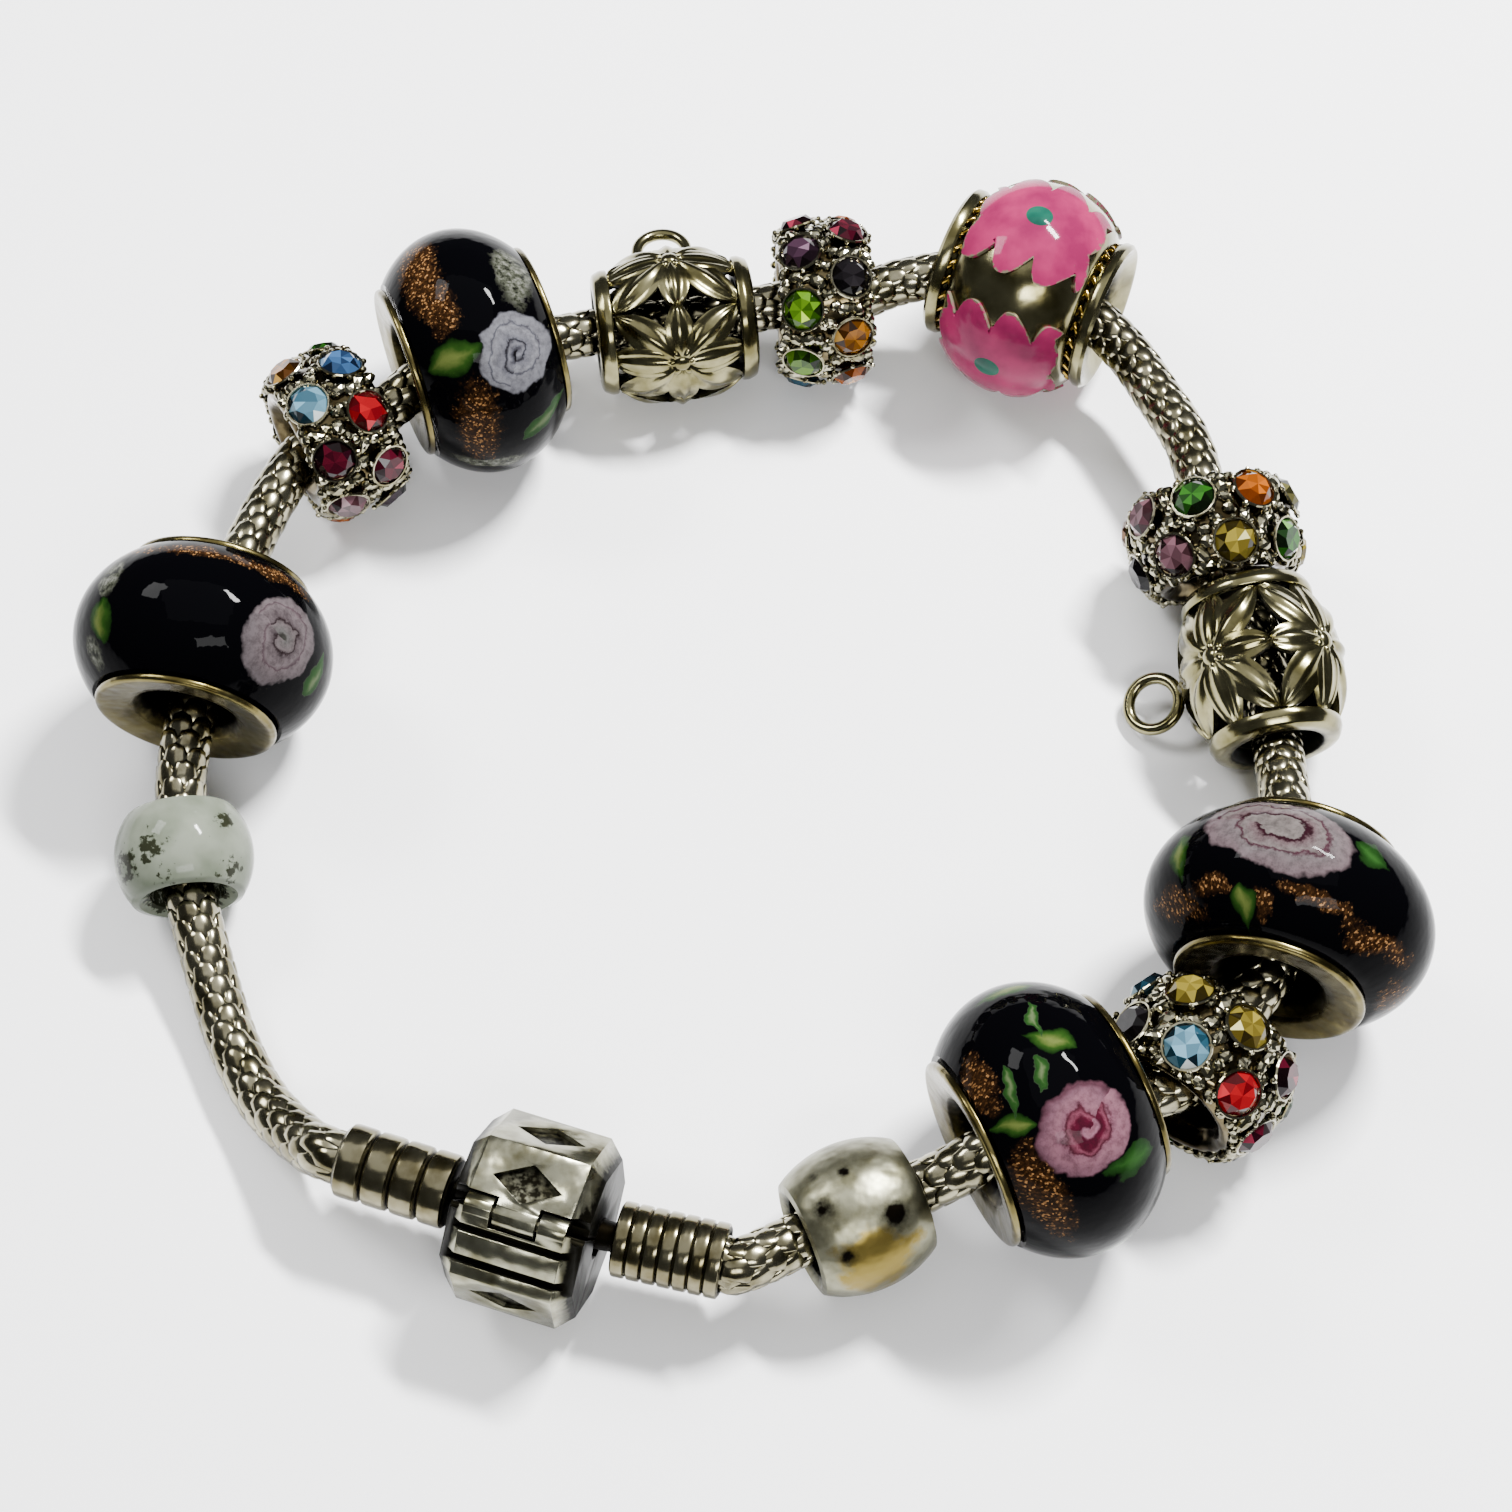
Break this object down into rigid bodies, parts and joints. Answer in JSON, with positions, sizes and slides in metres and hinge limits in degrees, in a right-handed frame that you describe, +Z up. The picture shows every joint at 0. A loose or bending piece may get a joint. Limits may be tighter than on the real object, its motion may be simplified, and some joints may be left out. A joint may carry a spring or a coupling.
{
  "type": "charm bracelet",
  "caption": "Silver snake-chain charm bracelet with glass, crystal, openwork, enamel and ceramic beads and a hinged barrel clasp, lying as a closed loop.",
  "frame": {"origin": "middle of the loop's bounding box, on the surface that the bracelet lies on", "axes": "+Z up from the surface; -Y towards the clasp side and the picture's viewer; +X to the viewer's right"},
  "size_m": [0.0718, 0.0692, 0.015],
  "materials": {
    "chain_silver": "polished, slightly worn",
    "polished_silver": "polished",
    "collar_silver": "polished with a warm tint",
    "clasp_silver": "worn satin with darkened recesses",
    "pin_silver": "polished",
    "black_glass": "glossy, opaque",
    "cap_silver": "burnished with a warm tint",
    "crystal_silver": "polished, with coloured cut stones",
    "openwork_silver": "polished with darkened recesses",
    "pink_enamel": "glossy",
    "teal_enamel": "glossy",
    "speckled_ceramic": "glossy, speckled"
  },
  "bodies": {
    "bracelet": {"snake_chain": "chain_silver", "end_collar_left": "collar_silver", "end_collar_right": "collar_silver", "clasp_base": "clasp_silver", "clasp_pin": "pin_silver", "glass_bead_1": "black_glass", "glass_bead_1_core": "cap_silver", "crystal_rondelle_1": "crystal_silver", "glass_bead_2": "black_glass", "glass_bead_2_core": "cap_silver", "crystal_rondelle_2": "crystal_silver", "glass_bead_3": "black_glass", "glass_bead_3_core": "cap_silver", "crystal_rondelle_3": "crystal_silver", "glass_bead_4": "black_glass", "glass_bead_4_core": "cap_silver", "crystal_rondelle_4": "crystal_silver", "openwork_bead_1": "openwork_silver", "openwork_bead_2": "openwork_silver", "enamel_bead_body": "polished_silver", "enamel_panel_1": "pink_enamel", "enamel_dot_1": "teal_enamel", "enamel_panel_2": "pink_enamel", "enamel_dot_2": "teal_enamel", "enamel_panel_3": "pink_enamel", "enamel_dot_3": "teal_enamel", "enamel_panel_4": "pink_enamel", "enamel_dot_4": "teal_enamel", "ceramic_bead": "speckled_ceramic", "silver_bead": "polished_silver"},
    "clasp_lid": {"clasp_lid": "clasp_silver"}
  },
  "joints": [
    {"name": "clasp_hinge", "type": "hinge", "parent": "bracelet", "child": "clasp_lid", "pos_m": [-0.01031, -0.031, 0.00834], "axis": [0.9511, -0.309, 0], "range_deg": [0, 75]}
  ]
}
